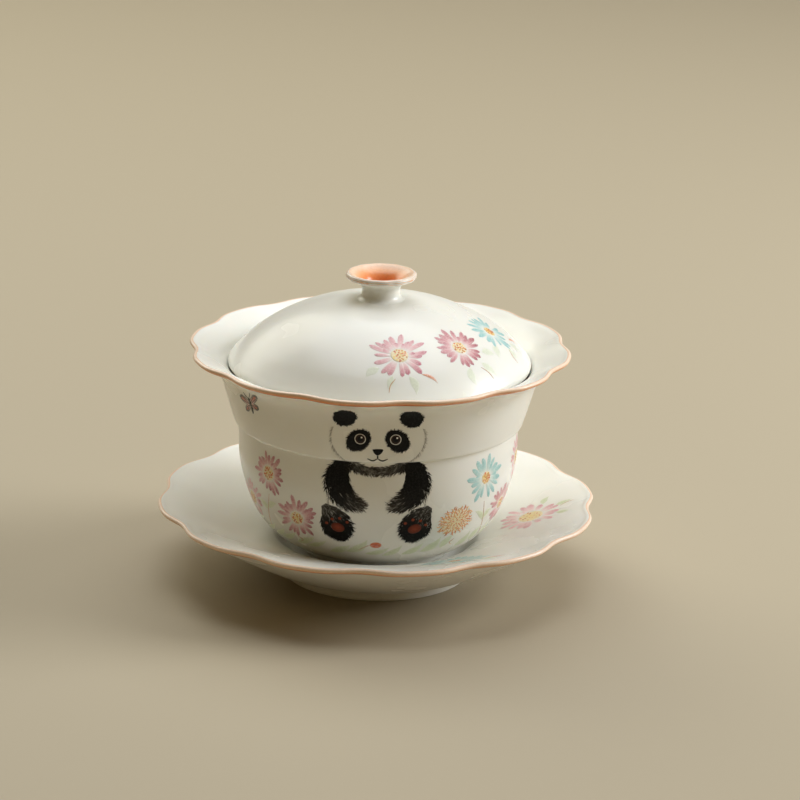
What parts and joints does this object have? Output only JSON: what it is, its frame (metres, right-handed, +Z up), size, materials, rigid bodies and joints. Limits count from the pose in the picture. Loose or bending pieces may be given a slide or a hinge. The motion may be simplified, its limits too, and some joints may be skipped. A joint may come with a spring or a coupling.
{
  "type": "gaiwan",
  "caption": "Lidded porcelain tea bowl with a lobed flaring rim, a domed lid with a hollow knob, and a lobed saucer with a sunken well; cream glaze with orange edges and painted flowers.",
  "frame": {"origin": "centre of the saucer's foot ring, on the table", "axes": "+Z up along the axis of the bowl, -Y towards the painted front, +X to its right"},
  "size_m": [0.1156, 0.1156, 0.0824],
  "materials": {
    "cream_glaze": "satin",
    "orange_enamel": "satin",
    "pink_enamel": "satin",
    "teal_enamel": "satin",
    "green_enamel": "satin",
    "ochre_enamel": "satin",
    "brown_enamel": "satin"
  },
  "bodies": {
    "saucer": {"saucer": "cream_glaze"},
    "bowl": {"bowl": "cream_glaze"},
    "lid": {"lid": "cream_glaze", "lid_knob": "cream_glaze"}
  },
  "joints": [
    {"name": "bowl_lift", "type": "slide", "parent": "saucer", "child": "bowl", "axis": [0, 0, 1], "range_m": [0, 0.04]},
    {"name": "lid_lift", "type": "slide", "parent": "bowl", "child": "lid", "axis": [0, 0, 1], "range_m": [0, 0.06]}
  ]
}
